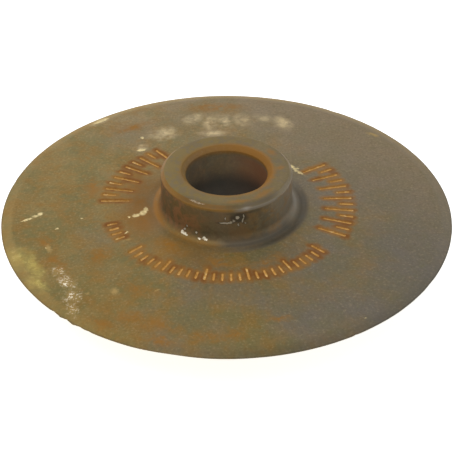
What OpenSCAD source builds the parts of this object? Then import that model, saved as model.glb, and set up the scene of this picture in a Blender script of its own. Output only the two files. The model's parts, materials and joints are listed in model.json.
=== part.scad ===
// Pipe cutter wheel: one turned piece of tool steel. A thin disc tapers out to a
// ground cutting edge, and a short bored hub stands on both sides of it.
// The axle is the Z axis, and the cutting edge lies in the XY plane.

/* [Cutting disc] */
// Diameter over the cutting edge
wheel_d = 46; // [40:0.5:60]
// Width of the tip of the edge, measured along the axle
edge_land = 0.1; // [0.06:0.02:0.3]
// Radial width of the ground bevel behind the edge
bevel_w = 1.1; // [0.6:0.1:3]
// Angle between the bevel and the cutting plane, on each side
bevel_angle = 11; // [6:0.5:20]
// Angle between the tapered flank and the cutting plane, on each side
flank_angle = 2.8; // [2:0.1:6]

/* [Hub] */
// Outer diameter of the hub
hub_d = 13.3; // [12:0.1:18]
// Overall length of the hub along the axle
hub_len = 10.3; // [9:0.1:16]
// Chamfer on the hub's outer corners
hub_chamfer = 0.35; // [0.2:0.05:0.8]
// Radius of the fillet where the hub runs into the flank
root_r = 0.8; // [0.6:0.1:2]
// Width of the shallow groove turned round the foot of that fillet
foot_groove_w = 0.6; // [0.3:0.05:1]
// Depth of the groove below the flank
foot_groove_depth = 0.06; // [0.04:0.02:0.2]

/* [Bore] */
// Diameter of the bore that turns on the axle
bore_d = 8.3; // [6:0.1:10]
// Chamfer at each mouth of the bore
bore_chamfer = 0.45; // [0.2:0.05:0.8]

/* [Hidden] */
$fn = 180;

edge_r = wheel_d / 2;
bevel_in_r = edge_r - bevel_w;
hub_r = hub_d / 2;
bore_r = bore_d / 2;
half_len = hub_len / 2;

// Half thickness of the disc at the tip and at the inner rim of the bevel
edge_z = edge_land / 2;
bevel_in_z = edge_z + bevel_w * tan(bevel_angle);

// Height of the flank above the cutting plane at a given radius
function flank_z(r) = bevel_in_z + (bevel_in_r - r) * tan(flank_angle);

// Centre of the root fillet: one radius off the hub and one radius off the flank
root_x = hub_r + root_r;
root_z = flank_z(root_x) + root_r / cos(flank_angle);

// Point where the fillet runs into the flank
root_end_x = root_x - root_r * sin(flank_angle);
root_end_z = root_z - root_r * cos(flank_angle);

// The groove starts where the fillet ends, and its floor is an arc of this radius
groove_x = root_end_x + foot_groove_w / 2;
groove_arc_r = (pow(foot_groove_w / 2, 2) + pow(foot_groove_depth, 2)) / (2 * foot_groove_depth);
groove_lift = groove_arc_r - foot_groove_depth;

// Upper half of the tapered disc and its edge bevel, from the axis out to the tip
module disc_profile() {
    polygon([
        [0, 0],
        [edge_r, 0],
        [edge_r, edge_z],
        [bevel_in_r, bevel_in_z],
        [0, flank_z(0)]
    ]);
}

// Upper half of the hub, with its outer corner chamfered
module hub_profile() {
    polygon([
        [0, 0],
        [hub_r, 0],
        [hub_r, half_len - hub_chamfer],
        [hub_r - hub_chamfer, half_len],
        [0, half_len]
    ]);
}

// Metal left in the corner between hub and flank by a round-nosed tool
module root_profile() {
    difference() {
        polygon([
            [bore_r, 0],
            [root_end_x, 0],
            [root_end_x, root_end_z],
            [root_x, root_z],
            [bore_r, root_z]
        ]);
        translate([root_x, root_z])
            circle(r = root_r);
    }
}

// Round-bottomed groove between the fillet and the ground flank
module foot_groove_profile() {
    intersection() {
        translate([
            groove_x + groove_lift * sin(flank_angle),
            flank_z(groove_x) + groove_lift * cos(flank_angle)
        ])
            circle(r = groove_arc_r);
        translate([root_end_x, 0])
            square([foot_groove_w, half_len]);
    }
}

// Upper half of the bore and its chamfered mouth
module bore_profile() {
    polygon([
        [0, 0],
        [bore_r, 0],
        [bore_r, half_len - bore_chamfer],
        [bore_r + bore_chamfer, half_len],
        [0, half_len]
    ]);
}

// Upper half of the wheel's section
module half_section() {
    difference() {
        union() {
            disc_profile();
            hub_profile();
            root_profile();
        }
        bore_profile();
        foot_groove_profile();
    }
}

// The whole section, the same above and below the cutting plane
module wheel_section() {
    half_section();
    mirror([0, 1])
        half_section();
}

module cutter_wheel() {
    color([0.44, 0.39, 0.31])
        rotate_extrude()
            wheel_section();
}

cutter_wheel();
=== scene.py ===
"""A rusty steel pipe cutter wheel, lathed from its section, on a pale studio floor.

The settings are in metres, as Blender keeps them. Inside the lathe and the patina the
working unit is the millimetre, because a turner thinks of this wheel in millimetres.
Places round the wheel are angles in degrees: 0 faces the camera and 90 is to the right.
"""

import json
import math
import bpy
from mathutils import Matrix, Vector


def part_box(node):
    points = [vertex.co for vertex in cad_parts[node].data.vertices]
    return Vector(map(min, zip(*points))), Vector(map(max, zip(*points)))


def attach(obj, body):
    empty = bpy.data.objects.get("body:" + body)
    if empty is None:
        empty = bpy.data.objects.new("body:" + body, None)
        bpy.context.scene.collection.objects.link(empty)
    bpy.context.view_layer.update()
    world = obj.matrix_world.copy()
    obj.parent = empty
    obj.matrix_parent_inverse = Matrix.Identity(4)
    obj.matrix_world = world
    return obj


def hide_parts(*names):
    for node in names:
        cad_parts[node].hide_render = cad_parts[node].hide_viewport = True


bl_info = {
    "name": "Pipe Cutter Wheel",
    "version": (1, 0, 0),
    "blender": (4, 5, 0),
    "location": "3D View > Sidebar > Cutter Wheel",
    "description": "Turns a worn steel pipe cutter wheel and sets it on a studio floor",
    "category": "Add Mesh",
}

import bpy
from mathutils import Matrix, Vector, noise

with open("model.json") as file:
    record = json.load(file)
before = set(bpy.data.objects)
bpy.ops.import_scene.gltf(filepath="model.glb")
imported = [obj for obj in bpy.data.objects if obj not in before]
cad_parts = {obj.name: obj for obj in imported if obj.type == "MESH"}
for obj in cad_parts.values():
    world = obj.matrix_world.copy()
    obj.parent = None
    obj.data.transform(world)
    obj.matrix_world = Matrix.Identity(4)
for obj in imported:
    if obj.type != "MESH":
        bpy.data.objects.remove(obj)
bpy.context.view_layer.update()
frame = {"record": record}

NODE = "cutter_wheel"
BODY = "root"
MM = 0.001

WHEEL_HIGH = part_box(NODE)[1]
BORE = next(mount for mount in frame["record"]["mounts"] if mount["name"] == "bore")

# The struck graduation, as groups of like ticks: angle of the first tick, pitch, number
# of ticks, inner and outer radius in mm, and width in mm
TICK_GROUPS = (
    (66.0, 10.0, 7, 10.0, 13.0, 0.30),
    (71.0, 10.0, 6, 11.6, 13.0, 0.26),
    (-144.0, 10.0, 6, 10.0, 13.0, 0.30),
    (-139.0, 10.0, 5, 11.6, 13.0, 0.26),
    (-50.0, 4.0, 25, 11.5, 12.5, 0.20),
    (-50.0, 20.0, 6, 10.9, 12.5, 0.22),
    (-74.0, 4.0, 4, 11.5, 12.5, 0.20),
)

# Damage to the cutting edge: angle, half width in degrees, and depth in mm. A negative
# depth is a burr that stands out
EDGE_DAMAGE = (
    (-12.5, 9.0, 0.09),
    (-45.0, 1.2, 0.08),
    (-42.5, 0.8, -0.08),
    (-40.6, 0.7, 0.10),
    (-38.4, 1.0, -0.10),
    (-36.4, 0.9, 0.07),
    (-33.8, 1.1, 0.05),
    (31.0, 0.7, 0.06),
    (58.0, 3.0, 0.03),
    (148.0, 2.0, 0.05),
    (-103.0, 2.5, 0.03),
)

# Unevenness of the whole cutting edge: waves a degree, height in mm, and the place in the
# noise that it is cut from
EDGE_WAVES = (
    (0.35, 0.008, 7.0),
    (1.7, 0.006, 3.0),
)

# Distance in mm from the cutting edge over which its damage runs out into the bevel
DAMAGE_REACH = 1.2

# Where the foot groove is clear of rust: middle angle and reach in degrees. Elsewhere the
# rust leaves this share of its depth
GROOVE_CLEAR = (68.0, 80.0)
GROOVE_LEFT = 0.25

# Waves a millimetre in the unevenness of the worn surfaces
RIPPLE_WAVES = 0.45

# Chips in the hub: angle, height in mm, half width and half height in mm, depth in mm,
# and how bright the painted glint on their bare metal is. One without a glint is a dark scar
HUB_CHIPS = (
    (-40.0, 1.27, 0.14, 0.14, 0.08, 1.0),
    (-37.5, 1.21, 0.24, 0.10, 0.10, 1.0),
    (-35.2, 1.16, 0.16, 0.06, 0.06, 1.0),
    (-38.5, 1.58, 0.10, 0.12, 0.04, 0.6),
    (-36.0, 2.02, 0.10, 0.12, 0.02, 0.4),
    (-19.5, 1.32, 0.16, 0.10, 0.08, 1.0),
    (-17.6, 1.23, 0.14, 0.06, 0.06, 1.0),
    (-23.0, 1.21, 0.16, 0.06, 0.04, 0.9),
    (-26.5, 1.66, 0.09, 0.10, 0.02, 0.6),
    (-0.7, 3.26, 0.62, 0.09, 0.02, 0.50),
    (-1.5, 3.78, 0.07, 0.16, 0.02, 0.50),
    (3.6, 3.36, 0.14, 0.12, 0.01, 0.40),
    (6.0, 3.51, 0.09, 0.15, 0.01, 0.35),
    (9.0, 3.84, 0.16, 0.19, 0.02, 0.50),
    (10.0, 3.00, 0.09, 0.17, 0.01, 0.40),
    (10.5, 3.80, 0.60, 0.36, 0.02, 0.00),
    (14.0, 3.96, 0.08, 0.18, 0.01, 0.50),
    (14.0, 3.48, 0.07, 0.30, 0.01, 0.40),
    (16.5, 3.09, 0.13, 0.07, 0.01, 0.35),
    (-27.5, 5.07, 0.85, 0.05, 0.01, 0.30),
)

# A chip whose painted glint is dimmer than this has a dark scar round it
SCAR_BELOW = 0.9

# The mesh: even spokes round the axle, the least angle in degrees between two spokes, and
# the straight runs in the arc that rounds a corner
EVEN_SPOKES = 300
LEAST_GAP = 0.12
ARC_RUNS = 3

# Its rings, all in mm: out to this radius they are at most this far apart on the upper
# side, and this far on the lower side
RING_SPACING = (
    (6.5, 0.45, 0.6),
    (7.2, 0.3, 0.5),
    (8.3, 0.1, 0.1),
    (21.5, 0.42, 0.42),
    (math.inf, 0.25, 0.25),
)

# Spacing of the rings under the struck graduation, and how far they go past it, in mm
MARK_SPACING = 0.14
MARK_MARGIN = 0.2

# The soft lights: place and side in metres. Both shine on the wheel's centre
TOP_LIGHT = ((-0.12, -0.10, 0.60), 0.6)
BACK_LIGHT = ((-0.15, 0.60, 0.32), 0.35)
WARM_WHITE = (1.0, 0.99, 0.97, 1.0)

# The camera: width of its sensor in mm, and the nearest and farthest things it sees in metres
SENSOR_WIDTH = 36.0
NEAREST = 0.01
FARTHEST = 20.0


def seen(red, green, blue):
    """Linear colour of a paint that looks like this 8-bit screen colour, by the sRGB curve."""
    return tuple(
        level / 12.92 if level <= 0.04045 else ((level + 0.055) / 1.055) ** 2.4
        for level in (red / 255, green / 255, blue / 255)
    )


def length(name, description, default):
    """A length property in metres."""
    return bpy.props.FloatProperty(
        name=name,
        description=description,
        default=default,
        min=0.0,
        precision=5,
        subtype="DISTANCE",
        unit="LENGTH",
    )


def angle(name, description, degrees):
    """An angle property, given in degrees and kept in radians."""
    return bpy.props.FloatProperty(
        name=name,
        description=description,
        default=math.radians(degrees),
        subtype="ANGLE",
        unit="ROTATION",
    )


def colour(name, description, red, green, blue):
    """A colour property, given as the screen colour that it should look like."""
    return bpy.props.FloatVectorProperty(
        name=name,
        description=description,
        default=seen(red, green, blue),
        size=3,
        min=0.0,
        max=1.0,
        subtype="COLOR",
    )


def amount(name, description, default, subtype="FACTOR"):
    """A plain number property."""
    return bpy.props.FloatProperty(
        name=name, description=description, default=default, min=0.0, subtype=subtype
    )


class WheelSizes(bpy.types.PropertyGroup):
    """Sizes of the turned wheel."""

    edge_radius: length("Edge radius", "From the axle's axis to the cutting edge", WHEEL_HIGH.x)
    half_length: length("Half length", "From the cutting plane to a hub face", WHEEL_HIGH.z)
    bore_radius: length("Bore radius", "Radius of the bore", BORE["dims"]["r_mm"] * MM)
    bore_chamfer: length("Bore chamfer", "Chamfer at each mouth of the bore", 0.45 * MM)
    hub_radius: length("Hub radius", "Outer radius of the hub", 6.65 * MM)
    hub_chamfer: length("Hub chamfer", "Chamfer on the hub's outer corners", 0.35 * MM)
    root_radius: length("Root fillet", "Fillet between hub and flank", 0.8 * MM)
    groove_width: length("Groove width", "Groove round the foot of the fillet", 0.6 * MM)
    groove_depth: length("Groove depth", "Depth of that groove", 0.06 * MM)
    flank_angle: angle("Flank angle", "Between the flank and the cutting plane", 2.8)
    bevel_width: length("Bevel width", "Radial width of the ground bevel", 1.1 * MM)
    bevel_angle: angle("Bevel angle", "Between the bevel and the cutting plane", 11.0)
    edge_land: length("Edge land", "Width of the tip of the edge", 0.1 * MM)
    corner_wear: length("Corner wear", "How far use has rounded the corners", 0.12 * MM)
    mark_depth: length("Mark depth", "Depth of the struck graduation", 0.12 * MM)
    ripple: length("Ripple", "Unevenness of the worn surfaces", 0.012 * MM)


class PatinaColours(bpy.types.PropertyGroup):
    """Colours of the steel, its oxide and what has dried on it, and of painted light and shade."""

    taupe: colour("Taupe oxide", "Grey-brown coat of the cleaner half", 119, 112, 101)
    ochre: colour("Ochre oxide", "Yellow-brown coat of the rustier half", 143, 121, 66)
    olive: colour("Olive oxide", "Greenish drift in the coat", 110, 108, 61)
    # Painted sheen: the far side looks paler and warmer where light glances off it
    far: colour("Far side", "Paler, warmer coat of the far side", 178, 150, 101)
    umber: colour("Umber", "Dark brown grime", 82, 70, 50)
    # Also the colour of painted shade in the groove, the bore, the front of the fillet and of the
    # bevel, and under the hub's chamfer
    shadow: colour("Shadow", "Blackened steel in the groove, the bore and the tip", 50, 50, 46)
    brown: colour("Golden brown", "Thin rust that tints the coat", 155, 115, 49)
    russet: colour("Russet", "Reddish rust on the hub's side and in the bore", 162, 110, 74)
    rust: colour("Rust", "Orange-brown rust bloom", 162, 110, 36)
    burnt: colour("Burnt rust", "Deep rust that has gathered round the marks", 124, 72, 30)
    fresh_rust: colour("Fresh rust", "Bright rust in the marks", 226, 176, 98)
    # Also painted light on the bevel's left side and towards its back
    straw: colour("Straw", "Light ground steel, tan marks and scuffs", 190, 160, 98)
    # Also painted sheen in the haze on the far side
    haze: colour("Pale haze", "Dried pale film on the far side", 214, 191, 148)
    stain: colour("Yellow stain", "Dried yellow-green stain by the edge", 206, 185, 98)
    # Also a painted highlight on the fillet's right side, under the hub's chamfer and in its gleam
    slate: colour("Slate", "Blue-grey steel of the hub and its foot", 162, 155, 143)
    # Also painted glints on the struck lines and painted sheen in the haze
    pale: colour("Pale spatter", "Dried cream spatters and scratches", 244, 223, 164)
    # Painted glints on chips and scuffs of bare steel
    glinting_steel: colour("Bare steel", "Chips and scratches down to the metal", 250, 240, 214)


class StudioSettings(bpy.types.PropertyGroup):
    """Camera, floor and lights."""

    distance: length("Camera distance", "From the wheel's centre to the camera", 149.5 * MM)
    elevation: angle("Camera elevation", "Height of the camera above the disc", 35.32)
    lens: amount("Lens", "Focal length in mm", 113.8, "DISTANCE_CAMERA")
    aim_right: length("Aim right", "How far right of the centre the camera aims", 0.34 * MM)
    aim_below: length("Aim below", "How far below the centre the camera aims", 1.94 * MM)
    floor_size: length("Floor size", "Side of the square floor", 6.0)
    floor_gap: length("Floor gap", "Hair's breadth between the hub and the floor", 0.02 * MM)
    floor_colour: colour("Floor", "Pale studio floor", 248, 248, 247)
    floor_glow: amount("Floor glow", "Light that comes up through the floor", 0.85)
    surroundings: amount("Surroundings", "Strength of the even light all round", 0.45)
    top_power: amount("Top light", "Power of the light overhead", 1.5, "POWER")
    back_power: amount("Back light", "Power of the low light behind", 0.5, "POWER")


class Signal:
    """An output of the patina's node tree. Arithmetic on it adds Math nodes."""

    def __init__(self, graph, socket):
        self.graph = graph
        self.socket = socket

    def math(self, operation, *values):
        """The Math node of this operation on these values."""
        settings = {"operation": operation}
        return self.graph.node("ShaderNodeMath", settings, dict(enumerate(values)))

    def beside(self, name):
        """Another output of the same node."""
        return Signal(self.graph, self.socket.node.outputs[name])

    def __add__(self, other):
        return self.math("ADD", self, other)

    def __sub__(self, other):
        return self.math("SUBTRACT", self, other)

    def __rsub__(self, other):
        return self.math("SUBTRACT", other, self)

    def __mul__(self, other):
        return self.math("MULTIPLY", self, other)

    def __truediv__(self, other):
        return self.math("DIVIDE", self, other)

    def __or__(self, other):
        return self.math("MAXIMUM", self, other)

    def __and__(self, other):
        return self.math("MINIMUM", self, other)

    def __abs__(self):
        return self.math("ABSOLUTE", self)

    __radd__ = __add__
    __rmul__ = __mul__
    __ror__ = __or__


# Sockets of the Mix node when it mixes colours: the share, the two colours and the result
MIX_SHARE = 0
MIX_BASE = 6
MIX_OVER = 7
MIX_RESULT = 2


class Graph:
    """The node tree of a material or a world."""

    def __init__(self, owner):
        owner.use_nodes = True
        self.tree = owner.node_tree
        self.tree.nodes.clear()

    def node(self, kind, settings=None, sockets=None, output=0):
        """Adds a node: its settings first, then the values or links of its sockets."""
        added = self.tree.nodes.new(kind)
        for name, value in (settings or {}).items():
            setattr(added, name, value)
        for key, value in (sockets or {}).items():
            if isinstance(value, Signal):
                self.tree.links.new(value.socket, added.inputs[key])
            else:
                added.inputs[key].default_value = value
        return Signal(self, added.outputs[output]) if added.outputs else None

    def ease(self, value, start, end):
        """0 before start and 1 past end, with a soft step between them."""
        settings = {"interpolation_type": "SMOOTHSTEP", "clamp": False}
        sockets = {"Value": value, "From Min": start, "From Max": end}
        return self.node("ShaderNodeMapRange", settings, sockets)

    def blend(self, share, base, over):
        """The base colour with this share of the other colour over it."""
        sockets = {MIX_SHARE: share, MIX_BASE: self.paint(base), MIX_OVER: self.paint(over)}
        return self.node("ShaderNodeMix", {"data_type": "RGBA"}, sockets, MIX_RESULT)

    @staticmethod
    def paint(tint):
        """A colour as a socket takes it, with its alpha."""
        return tint if isinstance(tint, Signal) else (*tint, 1.0)

    def noise(self, point, scale, detail=3.0, roughness=0.55, distortion=0.0, output=0):
        """Fractal noise of about 0.5 on average; scale is in features a millimetre."""
        sockets = {
            "Vector": point,
            "Scale": scale,
            "Detail": detail,
            "Roughness": roughness,
            "Distortion": distortion,
        }
        return self.node("ShaderNodeTexNoise", None, sockets, output)

    def vector(self, operation, *values, output=0):
        """The Vector Math node of this operation on these values."""
        settings = {"operation": operation}
        return self.node("ShaderNodeVectorMath", settings, dict(enumerate(values)), output)

    def join(self, x, y, z):
        """A vector from three values."""
        return self.node("ShaderNodeCombineXYZ", None, {0: x, 1: y, 2: z})


# The section of the wheel, in mm

def bump(distance, reach):
    """A smooth hump of height 1 at distance 0 that ends at reach."""
    share = min(abs(distance) / reach, 1.0)
    return (1 - share * share) ** 2


def flank_height(sizes, radius):
    """Height of the flank above the cutting plane at a radius, both in mm."""
    bevel_in = (sizes.edge_radius - sizes.bevel_width) / MM
    bevel_rise = sizes.bevel_width / MM * math.tan(sizes.bevel_angle)
    bevel_top = sizes.edge_land / MM / 2 + bevel_rise
    return bevel_top + (bevel_in - radius) * math.tan(sizes.flank_angle)


def section_corners(sizes):
    """Corners of the upper half section from the bore out to the edge: place and radius."""
    bore = sizes.bore_radius / MM
    hub = sizes.hub_radius / MM
    top = sizes.half_length / MM
    edge = sizes.edge_radius / MM
    bore_chamfer = sizes.bore_chamfer / MM
    hub_chamfer = sizes.hub_chamfer / MM
    wear = sizes.corner_wear / MM
    bevel_wear = 3 * wear
    bevel_in = edge - sizes.bevel_width / MM
    tip = sizes.edge_land / MM / 2
    return (
        (Vector((bore, 0.0)), 0.0),
        (Vector((bore, top - bore_chamfer)), wear),
        (Vector((bore + bore_chamfer, top)), wear),
        (Vector((hub - hub_chamfer, top)), wear),
        (Vector((hub, top - hub_chamfer)), wear),
        (Vector((hub, flank_height(sizes, hub))), sizes.root_radius / MM),
        (Vector((bevel_in, flank_height(sizes, bevel_in))), bevel_wear),
        (Vector((edge, tip)), tip / 2),
        (Vector((edge, 0.0)), 0.0),
    )


def corner_arc(before, corner, after, radius):
    """Points of the arc that rounds a corner between two straight runs."""
    back = (before - corner).normalized()
    ahead = (after - corner).normalized()
    half = back.angle(ahead) / 2
    middle = corner + (back + ahead).normalized() * (radius / math.sin(half))
    arm = corner + back * (radius / math.tan(half)) - middle
    turn = math.copysign(math.pi - 2 * half, ahead.cross(back))
    turns = [turn * i / ARC_RUNS for i in range(ARC_RUNS + 1)]
    return [middle + Matrix.Rotation(part, 2) @ arm for part in turns]


def spacing(radius, fine):
    """Longest run of the section between two rings of the mesh, in mm."""
    marks_from = min(group[3] for group in TICK_GROUPS) - MARK_MARGIN
    marks_to = max(group[4] for group in TICK_GROUPS) + MARK_MARGIN
    if fine and marks_from < radius < marks_to:
        return MARK_SPACING
    upper, lower = next(row[1:] for row in RING_SPACING if radius < row[0])
    return upper if fine else lower


def walk(start, end, fine):
    """Points from start up to, and without, end, as far apart as spacing() says."""
    run = (end - start).length
    hair = 1e-6
    stops, at = [], 0.0
    while at < run - hair:
        stops.append(at)
        at += spacing(start.lerp(end, at / run).x, fine)
    return [start.lerp(end, stop / at) for stop in stops]


def half_section(sizes, fine):
    """Points of the upper half section, from the bore's middle to the cutting edge."""
    corners = section_corners(sizes)
    runs = [[corners[0][0]]]
    for i in range(1, len(corners) - 1):
        place, radius = corners[i]
        runs.append(corner_arc(corners[i - 1][0], place, corners[i + 1][0], radius))
    runs.append([corners[-1][0]])
    points = []
    for this, following in zip(runs, runs[1:]):
        points += this[:-1] + walk(this[-1], following[0], fine)
    return points + runs[-1]


def full_section(sizes):
    """The closed section, finely divided above the cutting plane, with outward normals."""
    upper = half_section(sizes, True)
    lower = [Vector((p.x, -p.y)) for p in reversed(half_section(sizes, False))]
    points = upper + lower[1:-1]
    rings = []
    for i, point in enumerate(points):
        run = points[(i + 1) % len(points)] - points[i - 1]
        rings.append((point, Vector((-run.y, run.x)).normalized()))
    return rings


# Wear of the wheel, in mm

def tick_depth(turn, radius):
    """Share of the full depth of the struck graduation at this place."""
    steepness = 1.6
    deepest = 0.0
    for first, pitch, count, inner, outer, width in TICK_GROUPS:
        nearest = first + pitch * min(max(round((turn - first) / pitch), 0), count - 1)
        middle = (inner + outer) / 2
        across = math.radians(turn - nearest) * middle / (width / 2)
        along = max(abs(radius - middle) - (outer - inner - width) / 2, 0.0) / (width / 2)
        deepest = max(deepest, 1 - across * across - along * along)
    return min(deepest * steepness, 1.0)


def edge_loss(turn):
    """How far the cutting edge has lost radius at this angle."""
    loss = 0.0
    for waves, height, cut in EDGE_WAVES:
        loss += height * noise.noise((turn * waves, 0.0, cut))
    for middle, reach, depth in EDGE_DAMAGE:
        loss += depth * bump(turn - middle, reach)
    return loss


def hub_loss(turn, height, hub):
    """Depth of the chips in the hub's upper side at this place."""
    loss = 0.0
    for middle, level, half_width, half_height, depth, glint in HUB_CHIPS:
        across = math.radians(turn - middle) * hub / half_width
        up = (height - level) / half_height
        loss += depth * bump(math.hypot(across, up), 1.0)
    return loss


def groove_depth(sizes, turn, radius, height):
    """Depth of the groove at the foot of the fillet, which rust has half filled in places."""
    half_width = sizes.groove_width / MM / 2
    reach = 1.3 * half_width
    fillet_end = (sizes.hub_radius + sizes.root_radius * (1 - math.sin(sizes.flank_angle))) / MM
    depth = sizes.groove_depth / MM * bump(radius - fillet_end - half_width, reach)
    if height <= 0:
        return depth
    middle, clear = GROOVE_CLEAR
    return depth * (GROOVE_LEFT + (1 - GROOVE_LEFT) * bump(turn - middle, clear))


def worn_point(sizes, turn, place, normal):
    """A point of the section turned to an angle, with the wheel's wear on it."""
    radius, height = place
    edge = sizes.edge_radius / MM
    hub = sizes.hub_radius / MM
    on_flank = height > 0 and radius > hub + 1.6
    on_hub_side = height > 0 and abs(radius - hub) < 0.5
    spun = math.radians(turn)
    here = Vector((radius * math.sin(spun), -radius * math.cos(spun), height))
    sink = sizes.ripple / MM * noise.noise(here * RIPPLE_WAVES)
    if on_flank:
        sink += sizes.mark_depth / MM * tick_depth(turn, radius)
    if on_hub_side:
        sink += hub_loss(turn, height, hub)
    radius -= normal.x * sink
    height -= normal.y * sink + math.copysign(groove_depth(sizes, turn, radius, height), height)
    near_edge = min(max((radius - edge + DAMAGE_REACH) / DAMAGE_REACH, 0.0), 1.0)
    radius -= edge_loss(turn) * near_edge * near_edge
    return (radius * math.sin(spun) * MM, -radius * math.cos(spun) * MM, height * MM)


def stations():
    """Angles of the mesh's spokes: even, and closer where a tick or a nick needs them."""
    narrow = 2
    turns = [i * 360 / EVEN_SPOKES - 180 for i in range(EVEN_SPOKES)]
    for first, pitch, count, inner, outer, width in TICK_GROUPS:
        half = math.degrees(width / (inner + outer))
        for i in range(count):
            turns += [first + pitch * i + half * share for share in (-1, -0.5, 0.5, 1)]
    for middle, reach, depth in EDGE_DAMAGE:
        if reach < narrow:
            turns += [middle + reach * share for share in (-0.6, 0.0, 0.6)]
    turns.sort()
    pairs = zip(turns, [-math.inf] + turns)
    return [turn for turn, before in pairs if turn - before > LEAST_GAP]


def lathe(sizes, name):
    """The worn wheel as a closed mesh object."""
    rings = full_section(sizes)
    turns = stations()
    vertices = [worn_point(sizes, turn, *ring) for turn in turns for ring in rings]
    spokes, around = len(turns), len(rings)
    faces = []
    for i in range(spokes):
        here, there = i * around, (i + 1) % spokes * around
        for j in range(around):
            k = (j + 1) % around
            faces.append((here + j, here + k, there + k, there + j))
    mesh = bpy.data.meshes.new(name)
    mesh.from_pydata(vertices, [], faces)
    mesh.shade_smooth()
    hub_end = (sizes.hub_radius + sizes.root_radius) / MM
    slots = [int(place.x < hub_end) for place, normal in rings]
    mesh.polygons.foreach_set("material_index", slots * spokes)
    mesh.validate()
    piece = bpy.data.objects.new(name, mesh)
    bpy.context.scene.collection.objects.link(piece)
    return piece


# The patina. Places are in mm on the wheel

# Pale dried smears with painted sheen on the far side: x, y, half length, half width, turn in
# degrees
HAZE_AND_SHEEN_SPOTS = (
    (-3.7, 17.3, 1.7, 1.1, 60),
    (-1.7, 16.4, 2.0, 1.1, 70),
    (-0.2, 16.6, 1.0, 1.8, 10),
    (-1.5, 14.1, 1.9, 0.9, 0),
    (-6.9, 14.0, 2.0, 1.5, 20),
    (1.7, 17.0, 1.2, 1.5, 0),
    (4.2, 17.3, 1.0, 1.2, 0),
    (6.3, 16.4, 1.3, 1.9, 15),
    (-9.3, 10.9, 0.9, 0.8, 30),
    (-14.4, 17.2, 1.6, 0.8, 40),
)

# Orange rust blooms: x, y, half length, half width, turn in degrees
RUST_SPOTS = (
    (-1.3, 19.9, 4.2, 1.5, 0),
    (-17.8, -5.9, 0.9, 1.4, 25),
    (-9.4, 3.2, 1.6, 4.0, 15),
    (-17.0, -8.6, 1.4, 1.0, 120),
    (-16.0, -10.0, 1.8, 1.0, 120),
    (-9.0, -17.7, 3.0, 1.2, 155),
    (-6.5, -18.8, 2.6, 1.3, 165),
    (-6.2, -20.8, 2.8, 0.7, 165),
    (-2.0, -20.4, 2.8, 0.9, 175),
    (0.8, -20.2, 1.8, 0.8, 5),
    (-11.6, -18.4, 2.4, 0.8, 145),
    (4.8, -17.8, 1.8, 0.6, 10),
    (-8.3, -2.5, 1.0, 3.4, 0),
    (-5.6, -7.3, 3.0, 1.1, 140),
    (-0.6, -9.9, 3.0, 0.9, 0),
    (4.0, -9.4, 2.4, 0.8, 25),
    (-14.0, 3.5, 1.2, 2.6, 10),
    (-9.0, 0.5, 1.3, 3.2, 0),
    (-12.5, -8.5, 2.2, 1.6, 30),
    (-8.5, -13.5, 2.6, 1.2, 150),
    (-10.5, 15.5, 2.6, 1.0, 30),
)

# Yellow-green stain by the edge: x, y, half length, half width, turn in degrees
STAIN_SPOTS = (
    (-20.6, -8.2, 2.2, 1.6, 112),
    (-18.9, -9.6, 3.4, 1.0, 112),
    (-18.2, -12.2, 1.8, 0.9, 130),
)

# Spatters that dried pale: x, y, half length, half width, turn in degrees
PALE_SPOTS = (
    (-20.3, -1.95, 0.66, 0.14, 27),
    (-19.45, -1.35, 0.40, 0.18, 12),
    (-19.05, -1.00, 0.24, 0.26, 0),
    (-14.1, 17.3, 1.0, 0.34, 38),
    (-9.15, -1.95, 0.42, 0.30, 20),
    (-8.50, -1.55, 0.36, 0.50, 160),
    (-8.25, -1.00, 0.24, 0.40, 0),
    (-9.85, -2.20, 0.16, 0.16, 0),
    (-17.05, -3.65, 0.15, 0.13, 20),
    (-14.7, -2.1, 0.12, 0.12, 0),
    (-17.85, -6.85, 0.10, 0.10, 0),
    (-9.3, 13.2, 0.20, 0.24, 0),
    (-9.2, 10.6, 0.50, 0.26, 20),
    (-10.0, -4.8, 0.26, 0.09, 60),
    (6.95, 6.95, 0.42, 0.24, 120),
    (7.30, 6.35, 0.50, 0.22, 115),
    (7.75, 5.75, 0.45, 0.18, 130),
    (7.55, 6.60, 0.22, 0.12, 30),
    (12.9, -17.6, 0.12, 0.10, 0),
)

# Small tan marks on the flank: x, y, half length, half width, turn in degrees
TAN_SPOTS = (
    (-10.6, -13.8, 0.50, 0.62, 20),
    (-6.6, -13.8, 0.45, 0.16, 40),
    (-13.2, -14.0, 0.25, 0.20, 0),
    (-17.6, -6.9, 0.30, 0.90, 20),
    (-9.9, -6.0, 0.45, 0.22, 30),
    (16.2, 14.2, 0.90, 0.35, 150),
)

# Glittering scuffs near the edge: x, y, half length, half width, turn in degrees
SCUFFS = (
    (-16.4, -10.5, 0.95, 0.65, 145),
    (-15.3, -12.4, 1.3, 0.75, 120),
    (-14.6, -14.4, 1.4, 0.95, 95),
    (-14.5, -16.2, 1.2, 0.60, 110),
)

# Rusty patches on the hub's end face: x, y, half length, half width, turn in degrees
FACE_SPOTS = (
    (5.4, 0.3, 0.75, 0.45, 40),
    (4.6, 3.2, 0.9, 0.5, 120),
    (3.6, -4.3, 1.6, 0.5, 45),
    (1.2, -5.6, 1.5, 0.35, 10),
)


# The front of the hub's end face: from, to and softness, in degrees
FACE_FRONT = (-46.0, 48.0, 10.0)


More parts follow.
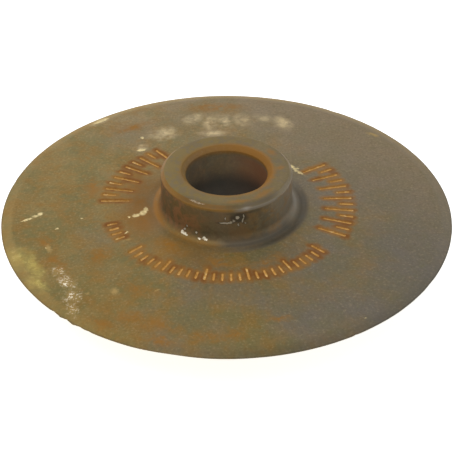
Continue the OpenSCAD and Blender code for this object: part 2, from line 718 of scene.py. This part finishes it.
class Patina:
    """The worn finish of the wheel, built layer by layer, with painted light and shade among the
    layers.

    The disc and the hub have a material each, because the renderer can't hold all the
    layers in one. Both start from the same oxide, so nothing shows where they meet.
    """

    def __init__(self, sizes, tints, material):
        self.graph = graph = Graph(material)
        self.tints = tints
        self.coat = tints.taupe
        self.rusty = 0.0
        self.bare_and_glint_mask = 0.0
        self.top = sizes.half_length / MM
        self.bore = sizes.bore_radius / MM
        self.hub = sizes.hub_radius / MM
        self.edge = sizes.edge_radius / MM
        self.foot = (sizes.hub_radius + sizes.root_radius + sizes.groove_width / 2) / MM
        place = graph.node("ShaderNodeTexCoord", output="Object")
        self.point = graph.vector("MULTIPLY", place, (1 / MM, 1 / MM, 1 / MM))
        self.x = graph.node("ShaderNodeSeparateXYZ", None, {0: self.point})
        self.y = self.x.beside("Y")
        self.z = self.x.beside("Z")
        self.deep = self.top - abs(self.z)
        self.flat = graph.join(self.x, self.y, 0.0)
        self.radius = graph.vector("LENGTH", self.flat, output="Value")
        turn = self.x.math("ARCTAN2", self.x, 0 - self.y)
        self.turn = turn * math.degrees(1)
        self.upper = graph.ease(self.z, 0.0, 0.05)
        self.broad = graph.noise(self.point, scale=0.10)
        self.mottle = graph.noise(self.point, scale=0.42, detail=5.0, roughness=0.6)
        elsewhere = graph.vector("ADD", self.point, (31.0, 17.0, 5.0))
        self.drift = graph.noise(elsewhere, scale=0.3, detail=4.0, roughness=0.6)
        self.wisp = graph.noise(self.point, scale=0.9, detail=4.0, roughness=0.65, distortion=0.8)
        self.fleck = graph.noise(self.point, scale=1.7, roughness=0.6)
        self.grain = graph.noise(self.point, scale=4.0, detail=2.0, roughness=0.6)
        self.ragged = self.shaken(scale=0.8, detail=4.0, reach=2.0)
        self.torn = self.shaken(scale=3.0, detail=3.0, reach=0.55)
        self.spark = graph.noise(self.point, scale=4.5, roughness=0.7)

    def lay(self, share, tint):
        """Lays this share of a colour over the coat."""
        self.coat = self.graph.blend(share, self.coat, tint)

    def shaken(self, scale, detail, reach):
        """The flat place, pushed about by noise, which makes a spot's outline uneven."""
        graph = self.graph
        noisy = graph.noise(self.flat, scale, detail, roughness=0.65, output="Color")
        push = graph.node("ShaderNodeSeparateColor", None, {0: noisy})
        across = self.x + (push - 0.5) * reach
        along = self.y + (push.beside("Green") - 0.5) * reach
        return graph.join(across, along, 0.0)

    def spot(self, place, soft, outline):
        """An ellipse seen from above: 1 inside, 0 outside. The outline is a flat place."""
        x, y, half_length, half_width, degrees = place
        sockets = {
            "Vector": outline,
            "Location": (x, y, 0.0),
            "Rotation": (0.0, 0.0, math.radians(degrees)),
            "Scale": (half_length, half_width, 1.0),
        }
        local = self.graph.node("ShaderNodeMapping", {"vector_type": "TEXTURE"}, sockets)
        far = self.graph.vector("LENGTH", local, output="Value")
        faded_out = 1.25
        return self.graph.ease(far, faded_out, soft)

    def spots(self, places, soft, outline):
        """All these spots together, on the upper side only."""
        whole = self.spot(places[0], soft, outline)
        for place in places[1:]:
            whole = whole | self.spot(place, soft, outline)
        return whole * self.upper

    def band(self, value, start, end, soft):
        """1 where the value lies between start and end, with soft sides."""
        rise = self.graph.ease(value, start - soft, start + soft)
        fall = self.graph.ease(value, end + soft, end - soft)
        return rise * fall

    def sector(self, start, end, soft):
        """1 where the angle round the wheel lies between start and end, with soft sides."""
        return self.band(self.turn, start, end, soft)

    def tick_distance(self):
        """Distance in mm from the middle line of the nearest tick of the graduation."""
        nearest = None
        for first, pitch, count, inner, outer, width in TICK_GROUPS:
            middle = (inner + outer) / 2
            span = pitch * (count - 1)
            local = self.x.math("WRAP", self.turn - first, pitch / 2, -pitch / 2)
            across = local * math.radians(middle)
            along = (abs(self.radius - middle) - (outer - inner - width) / 2) | 0.0
            beyond = (abs(self.turn - (first + span / 2)) - (span + pitch) / 2) | 0.0
            offset = self.graph.join(across, along, beyond)
            reach = self.graph.vector("LENGTH", offset, output="Value")
            nearest = reach if nearest is None else nearest & reach
        return nearest

    def oxide(self):
        """The coat of oxide, whose hue drifts while its brightness hardly does, with painted sheen
        on the far side.
        """
        lay, tints, ease = self.lay, self.tints, self.graph.ease
        leftward = ease(self.x * -0.5 + self.y * -0.13 + (self.broad - 0.5) * 24, -8.5, 9.0)
        lay(leftward, tints.ochre)
        # Painted sheen: paler and warmer towards the back
        lay(ease(self.y + self.x * 0.45, -4.0, 22.0) * 0.37, tints.far)
        drift = ease(self.drift, 0.42, 0.60) * (leftward * 0.36 + 0.14)
        lay(drift, tints.olive)
        brown = ease(self.mottle, 0.44, 0.66) * (leftward * 0.5 + 0.04)
        lay(brown, tints.brown)
        flecked = ease(self.fleck, 0.46, 0.70) * (leftward * 0.32 + 0.05)
        lay(flecked, tints.brown)
        lay(ease(self.fleck, 0.46, 0.26) * 0.25, tints.olive)
        lay(ease(self.grain, 0.51, 0.74) * 0.25, tints.umber)
        lay(ease(self.grain, 0.47, 0.26) * 0.16, tints.haze)

    def stains(self):
        """Rust blooms, dried haze with painted sheen and the yellow stain on the disc's upper side.
        """
        lay, tints, ease = self.lay, self.tints, self.graph.ease
        bloom = self.spots(RUST_SPOTS, -0.2, self.ragged) * ease(self.wisp, 0.30, 0.62)
        bloom = bloom * ease(self.radius, self.foot - 0.2, self.foot + 0.4)
        self.rusty = self.rusty | bloom
        lay(bloom * 0.9, tints.rust)
        # Pale haze, with painted sheen in its bright cores on the far side
        film = self.spots(HAZE_AND_SHEEN_SPOTS, -0.3, self.ragged) * ease(self.wisp, 0.25, 0.6)
        lay(film, tints.haze)
        lay(film * ease(self.wisp, 0.5, 0.7) * 0.35, tints.pale)
        stain = self.spots(STAIN_SPOTS, -0.2, self.ragged)
        streaks = self.graph.noise(self.point, scale=1.3, detail=5.0, roughness=0.7, distortion=1.8)
        lay(stain * (0.46 + 0.42 * ease(streaks, 0.34, 0.60)), tints.stain)
        lay(stain * ease(streaks, 0.53, 0.68) * 0.35, tints.pale)
        marks = self.spots(TAN_SPOTS, 0.2, self.torn) * ease(self.fleck, 0.25, 0.55)
        lay(marks * 0.75, tints.straw)

    def hub_foot(self):
        """The fillet and its groove: rusty on the left, blue-grey with a painted highlight on the
        right, and painted shade in front and in the groove.
        """
        lay, tints, ease = self.lay, self.tints, self.graph.ease
        hub, radius, upper = self.hub, self.radius, self.upper
        left_side = self.sector(-128.0, -56.0, 16.0)
        back_left = self.sector(-135.0, -86.0, 8.0)
        near_left = self.sector(-54.0, -8.0, 10.0)
        front = self.sector(-4.0, 62.0, 8.0)
        right_side = self.sector(72.0, 118.0, 16.0)
        shaded = self.sector(22.0, 112.0, 18.0)
        cool = self.sector(-2.0, 104.0, 12.0)
        inner = self.band(radius, hub + 0.08, hub + 0.5, 0.16) * upper
        outer = self.band(radius, hub + 0.35, hub + 0.85, 0.2) * upper
        ring = self.band(radius, hub + 0.15, self.foot + 0.6, 0.25) * upper
        apron = ease(radius + (self.wisp - 0.5) * 3.0, 12.5, 9.0)
        apron = apron * ease(radius, hub + 0.4, hub + 0.9) * upper
        rusted = left_side * (0.66 - back_left * 0.26) | near_left * 0.32
        lay(apron * rusted, tints.rust)
        lay(apron * left_side * (0.18 + back_left * 0.14), tints.umber)
        lay(ring * cool * 0.55, tints.taupe)
        # Painted highlight: a blue-grey band on the fillet's right side, which also greys the front
        lay(inner * right_side * 0.6, tints.slate)
        lay(outer * (right_side + front) * 0.2, tints.slate)
        # Painted shade at the foot of the hub in front
        lay((inner | outer) * front * 0.55, tints.shadow)
        golden = (inner | outer) * (left_side * 0.9 | near_left * 0.4) * ease(self.wisp, 0.2, 0.5)
        lay(golden, tints.rust)
        # Painted shade in the groove round the foot, darkest on the right
        groove = self.band(radius, self.foot - 0.35, self.foot + 0.56, 0.32) * upper
        lay(groove * (shaded * 0.47 + 0.06), tints.shadow)

    def hub_side(self):
        """The hub's dark side: russet on the left and greyer on the right."""
        lay, tints, ease = self.lay, self.tints, self.graph.ease
        hub, radius, deep = self.hub, self.radius, self.deep
        rightward = self.sector(35.0, 140.0, 25.0)
        left_side = self.sector(-130.0, -26.0, 12.0)
        at_side = ease(radius, hub - 0.28, hub - 0.04) * ease(radius, hub + 0.5, hub)
        at_side = at_side * ease(deep, 0.25, 0.5)
        lay(at_side * (0.56 - rightward * 0.45), tints.umber)
        blotch = ease(self.wisp, 0.42, 0.62) * (left_side * 0.40 + 0.10)
        lay(at_side * blotch, tints.russet)
        ahead = self.sector(-20.0, 64.0, 12.0)
        lay(at_side * (rightward * 0.4 | ahead * 0.07), tints.slate)
        streaks = self.sector(20.0, 95.0, 15.0) * ease(self.wisp, 0.46, 0.62)
        lay(at_side * streaks * 0.35, tints.brown)
        blued = ease(self.drift + (self.fleck - 0.5) * 0.4, 0.48, 0.60) * (1 - left_side)
        lay(at_side * blued * (0.3 - rightward * 0.25), tints.shadow)

    def hub_face(self):
        """The stained end face of the hub."""
        lay, tints, ease = self.lay, self.tints, self.graph.ease
        hub, bore, radius = self.hub, self.bore, self.radius
        face = ease(self.deep, 0.32, 0.12) * ease(radius, bore + 0.2, bore + 0.5)
        lay(face * (0.45 + 0.4 * ease(self.x, 3.0, -5.0)), tints.ochre)
        greyed = ease(self.fleck + self.mottle, 0.95, 1.15)
        lay(face * greyed * 0.4, tints.taupe)
        fore = self.sector(*FACE_FRONT)
        outward = ease(radius, hub - 1.1, hub - 0.2)
        lay(face * (fore * outward * 0.3 + 0.16), tints.umber)
        patches = self.spots(FACE_SPOTS, 0.0, self.torn) * face
        lay(patches * 0.6, tints.rust)

    def hub_corner(self):
        """The worn corner of the hub: golden on the left, with a painted highlight and gleam in
        front and painted shade under it.
        """
        lay, tints, ease = self.lay, self.tints, self.graph.ease
        hub, radius, deep = self.hub, self.radius, self.deep
        corner = self.band(radius, hub - 0.34, hub + 0.2, 0.07) * ease(deep, 0.55, 0.4)
        patchy = ease(self.fleck, 0.12, 0.5)
        golden = self.sector(-130.0, 2.0, 8.0)
        lay(corner * golden * patchy * 0.6, tints.rust)
        behind = ease(self.y, -1.0, 2.0)
        lay(corner * behind * 0.3, tints.brown)
        corner_right = self.sector(12.0, 75.0, 8.0)
        lay(corner * corner_right * 0.3, tints.slate)
        fore = self.sector(*FACE_FRONT)
        lay(corner * fore * 0.42, tints.umber)
        outside = ease(radius, hub - 0.2, hub - 0.05) * ease(radius, hub + 0.5, hub)
        # Painted highlight: a lighter band just under the chamfer, brown on the left and blue-grey
        # on the right
        lip_highlight = self.band(deep, 0.30, 0.62, 0.07) * outside
        lip_left = self.sector(-42.0, 8.0, 5.0)
        lay(lip_highlight * lip_left * 0.5, tints.brown)
        lip_right = self.sector(8.0, 48.0, 5.0)
        lay(lip_highlight * lip_right * 0.4, tints.slate)
        # Painted highlight: the gleam on the chamfer in front
        gleam = self.band(deep, 0.18, 0.52, 0.08) * self.sector(14.5, 19.5, 3.0) * outside
        lay(gleam * 0.8, tints.slate)
        # Painted shade under the chamfer in front
        under = self.band(deep, 0.72, 0.95, 0.1) * outside
        under_front = self.sector(0.0, 30.0, 8.0)
        lay(under * under_front * 0.4, tints.shadow)

    def rusty_bore(self):
        """The orange mouth of the bore, and the rust and the shade inside it."""
        lay, tints, ease = self.lay, self.tints, self.graph.ease
        bore, radius, deep = self.bore, self.radius, self.deep
        uneven = radius + (self.wisp - 0.5) * 0.7
        mouth = ease(uneven, bore + 1.05, bore + 0.3) * ease(deep, 1.0, 0.45)
        self.rusty = self.rusty | mouth
        sunny = ease(self.x + self.y * 0.2, -5.0, 4.0)
        lay(mouth * (0.35 + 0.5 * sunny), tints.rust)
        inside = ease(radius, bore + 0.12, bore + 0.02) * ease(deep, 0.6, 1.2)
        # Mottled painted shade on the bore's wall
        lay(inside * ease(self.wisp, 0.3, 0.6) * 0.3, tints.shadow)
        lay(inside * 0.2, tints.slate)
        lay(inside * ease(self.x, -1.0, 4.0) * 0.8, tints.russet)
        # Painted shade, darkest deep in the bore
        lay(inside * ease(deep, 2.0, 4.5) * 0.85, tints.shadow)

    def struck_marks(self):
        """Rust in and round the struck graduation, with painted cream glints on its lines."""
        lay, tints, ease = self.lay, self.tints, self.graph.ease
        far = self.tick_distance()
        halo = ease(far + (self.wisp - 0.5) * 0.9, 0.85, 0.10) * self.upper
        self.rusty = self.rusty | halo
        lay(halo * 0.75, tints.rust)
        lay(halo * ease(self.mottle, 0.42, 0.58) * 0.75, tints.burnt)
        struck = ease(far, 0.20, 0.09) * self.upper
        lay(struck * 0.8, tints.rust)
        line = ease(far + (self.grain - 0.5) * 0.1, 0.15, 0.05) * self.upper
        lay(line * (0.5 + 0.5 * ease(self.fleck, 0.3, 0.6)), tints.fresh_rust)
        # Painted glints: cream specks on the struck lines
        lay(line * ease(self.fleck, 0.56, 0.66) * 0.6, tints.pale)

    def spatters(self):
        """Dried spatters and the scuffs on the disc, with painted glints glittering in them."""
        lay, tints, ease = self.lay, self.tints, self.graph.ease
        pale = self.spots(PALE_SPOTS, 0.6, self.torn)
        lay(pale * (0.6 + 0.4 * ease(self.fleck, 0.4, 0.6)), tints.pale)
        scuffs = self.spots(SCUFFS, 0.0, self.ragged)
        lay(scuffs * 0.6, tints.straw)
        lay(scuffs * ease(self.wisp, 0.4, 0.6) * 0.4, tints.brown)
        # Painted glints: white specks glittering in the scuffs
        self.bare_and_glint_mask = scuffs * ease(self.spark + (self.fleck - 0.5) * 0.6, 0.53, 0.61)
        lay(self.bare_and_glint_mask, tints.glinting_steel)

    def worn_edge(self):
        """The ground bevel, with painted light that makes it lighter than the flank on the left and
        at the back, painted shade at the front, and the dark tip of the edge.
        """
        lay, tints, ease = self.lay, self.tints, self.graph.ease
        ground = ease(self.radius + (self.fleck - 0.5) * 0.4, self.edge - 1.3, self.edge - 0.9)
        ground = ground * self.upper
        # Painted light: the bevel lighter on the left
        left = self.sector(-95.0, -40.0, 25.0)
        lay(ground * left * 0.33, tints.straw)
        # Painted sheen: the edge lighter towards the back
        behind = ease(self.y, 2.0, 20.0) * ease(self.radius, self.edge - 1.2, self.edge)
        lay(behind * self.upper * 0.6, tints.straw)
        lay(ground * ease(self.x, 4.0, 16.0) * 0.12, tints.slate)
        # Painted shade on the front of the bevel
        front = self.sector(-8.0, 60.0, 25.0) * self.upper
        outward = ease(self.radius, self.edge - 1.7, self.edge - 0.3)
        lay(front * outward * 0.3, tints.shadow)
        tip = ease(self.radius, self.edge - 0.16, self.edge - 0.05)
        lay(tip * (0.5 - 0.2 * self.upper), tints.shadow)

    def hub_chips(self):
        """Bare metal with painted glints in the hub's chips, and the dark scars round the duller
        ones.
        """
        graph, ease = self.graph, self.graph.ease
        turn = self.turn + (self.fleck - 0.5) * 4.0
        level = self.z + (self.grain - 0.5) * 0.25
        scar = 0.0
        for middle, height, half_width, half_height, depth, glint in HUB_CHIPS:
            across = (turn - middle) * (math.radians(self.hub) / half_width)
            up = (level - height) / half_height
            reach = graph.vector("LENGTH", graph.join(across, up, 0.0), output="Value")
            self.bare_and_glint_mask = self.bare_and_glint_mask | (ease(reach, 1.2, 0.8) * glint)
            if glint < SCAR_BELOW:
                scar = scar | ease(reach, 2.0, 1.0)
        outside = ease(self.radius, self.hub - 0.6, self.hub - 0.4)
        self.bare_and_glint_mask = self.bare_and_glint_mask * ease(self.spark, 0.30, 0.48) * outside
        scarred = scar * outside * ease(self.z, self.top - 0.4, self.top - 0.7)
        self.lay(scarred * 0.7, self.tints.shadow)
        # Painted glints: white where light would glint on the bare metal
        self.lay(self.bare_and_glint_mask, self.tints.glinting_steel)

    def build(self, layers):
        """Links these layers over the oxide to the shader and the output."""
        graph = self.graph
        self.oxide()
        for layer in layers:
            layer()
        rough = 0.50 + (self.mottle - 0.5) * 0.3 + self.rusty * 0.15 - self.bare_and_glint_mask * 0.15
        metallic = 0.30 - self.rusty * 0.22 + self.bare_and_glint_mask * 0.25

        # Fine relief in mm: pitted oxide over faint turning lines
        lines_per_mm = 6.0
        lines_per_degree = 0.02
        around = graph.join(
            self.radius * lines_per_mm, self.turn * lines_per_degree, self.z * lines_per_mm
        )
        turned = graph.noise(around, scale=1.0, detail=2.0, roughness=0.5)
        relief = self.grain * 0.008 + self.fleck * 0.012 + turned * 0.004
        sockets = {"Strength": 1.0, "Distance": MM, "Height": relief}
        normal = graph.node("ShaderNodeBump", None, sockets)

        sockets = {
            "Base Color": self.coat,
            "Roughness": rough,
            "Metallic": metallic,
            "Normal": normal,
            "IOR": 1.5,
            "Specular IOR Level": 0.22,
        }
        shader = graph.node("ShaderNodeBsdfPrincipled", None, sockets)
        graph.node("ShaderNodeOutputMaterial", None, {"Surface": shader})


def add_light(name, place, side, power):
    """A square soft light at a place, turned to shine on the wheel's centre."""
    lamp = bpy.data.lights.new(name, "AREA")
    lamp.shape = "SQUARE"
    lamp.size = side
    lamp.energy = power
    light = bpy.data.objects.new(name, lamp)
    light.location = place
    light.rotation_mode = "QUATERNION"
    light.rotation_quaternion = (-light.location).to_track_quat("-Z", "Y")
    bpy.context.scene.collection.objects.link(light)
    return light


class TurnWheel(bpy.types.Operator):
    """Turn the cutter wheel from its section and give it its rusty finish"""

    bl_idname = "cutter_wheel.turn_wheel"
    bl_label = "Turn the wheel"
    bl_options = {"REGISTER", "UNDO"}

    def execute(self, context):
        sizes = context.scene.wheel_sizes
        piece = lathe(sizes, "worn_cutter_wheel")
        tints = context.scene.patina_colours
        for name in ("rusty_disc_steel", "rusty_hub_steel"):
            piece.data.materials.append(bpy.data.materials.new(name))
        disc, hub = (Patina(sizes, tints, steel) for steel in piece.data.materials)
        disc.build((disc.stains, disc.hub_foot, disc.struck_marks, disc.spatters, disc.worn_edge))
        sides = (hub.hub_side, hub.hub_face, hub.hub_corner, hub.rusty_bore)
        hub.build((hub.hub_foot, *sides, hub.hub_chips))
        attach(piece, BODY)
        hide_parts(NODE)
        return {"FINISHED"}


class SetStudio(bpy.types.Operator):
    """Lay the pale floor and set the lights and the camera"""

    bl_idname = "cutter_wheel.set_studio"
    bl_label = "Set the studio"
    bl_options = {"REGISTER", "UNDO"}

    def execute(self, context):
        studio = context.scene.studio_settings
        level = -context.scene.wheel_sizes.half_length - studio.floor_gap
        self.lay_floor(studio, level)
        self.set_lights(context.scene, studio)
        self.set_camera(context.scene, studio)
        return {"FINISHED"}

    def lay_floor(self, studio, level):
        """The floor under the hub's lower face."""
        half = studio.floor_size / 2
        corners = [(x * half, y * half, level) for x, y in ((-1, -1), (1, -1), (1, 1), (-1, 1))]
        mesh = bpy.data.meshes.new("floor")
        mesh.from_pydata(corners, [], [(0, 1, 2, 3)])
        floor = bpy.data.objects.new("floor", mesh)
        bpy.context.scene.collection.objects.link(floor)
        paper = bpy.data.materials.new("pale_floor")
        graph = Graph(paper)
        sockets = {
            "Base Color": graph.paint(studio.floor_colour),
            "Roughness": 0.8,
            "Emission Color": graph.paint(studio.floor_colour),
            "Emission Strength": studio.floor_glow,
        }
        shader = graph.node("ShaderNodeBsdfPrincipled", None, sockets)
        graph.node("ShaderNodeOutputMaterial", None, {"Surface": shader})
        mesh.materials.append(paper)

    def set_lights(self, scene, studio):
        """An even surrounding light, a soft light overhead and a low one behind."""
        world = bpy.data.worlds.new("studio")
        scene.world = world
        graph = Graph(world)
        sockets = {"Color": WARM_WHITE, "Strength": studio.surroundings}
        shader = graph.node("ShaderNodeBackground", None, sockets)
        graph.node("ShaderNodeOutputWorld", None, {"Surface": shader})
        add_light("top_light", *TOP_LIGHT, studio.top_power)
        add_light("back_light", *BACK_LIGHT, studio.back_power)
        scene.view_settings.view_transform = "Standard"

    def set_camera(self, scene, studio):
        """The photograph's view: above the wheel and a little in front of it."""
        lens = bpy.data.cameras.new("camera")
        lens.lens = studio.lens
        lens.sensor_width = SENSOR_WIDTH
        lens.clip_start = NEAREST
        lens.clip_end = FARTHEST
        camera = bpy.data.objects.new("camera", lens)
        rise, run = math.sin(studio.elevation), math.cos(studio.elevation)
        camera.location = Vector((0, -run, rise)) * studio.distance
        down = Vector((0, -rise, -run)) * studio.aim_below
        aim = Vector((studio.aim_right, 0, 0)) + down
        camera.rotation_mode = "QUATERNION"
        camera.rotation_quaternion = (aim - camera.location).to_track_quat("-Z", "Y")
        scene.collection.objects.link(camera)
        scene.camera = camera


class WheelPanel(bpy.types.Panel):
    """Sizes, colours and steps of the cutter wheel"""

    bl_idname = "VIEW3D_PT_cutter_wheel"
    bl_label = "Pipe Cutter Wheel"
    bl_space_type = "VIEW_3D"
    bl_region_type = "UI"
    bl_category = "Cutter Wheel"

    def draw(self, context):
        groups = (
            (context.scene.wheel_sizes, TurnWheel),
            (context.scene.patina_colours, None),
            (context.scene.studio_settings, SetStudio),
        )
        for settings, step in groups:
            box = self.layout.box()
            for name in settings.bl_rna.properties.keys():
                if name not in ("rna_type", "name"):
                    box.prop(settings, name)
            if step:
                box.operator(step.bl_idname)


CLASSES = (WheelSizes, PatinaColours, StudioSettings, TurnWheel, SetStudio, WheelPanel)


def register():
    """Registers the settings, the steps and the panel."""
    for kind in CLASSES:
        bpy.utils.register_class(kind)
    scene = bpy.types.Scene
    scene.wheel_sizes = bpy.props.PointerProperty(type=WheelSizes)
    scene.patina_colours = bpy.props.PointerProperty(type=PatinaColours)
    scene.studio_settings = bpy.props.PointerProperty(type=StudioSettings)


def unregister():
    """Takes them away again."""
    for name in ("wheel_sizes", "patina_colours", "studio_settings"):
        delattr(bpy.types.Scene, name)
    for kind in reversed(CLASSES):
        bpy.utils.unregister_class(kind)


def main():
    register()
    bpy.ops.cutter_wheel.turn_wheel()
    bpy.ops.cutter_wheel.set_studio()


if __name__ == "__main__":
    main()
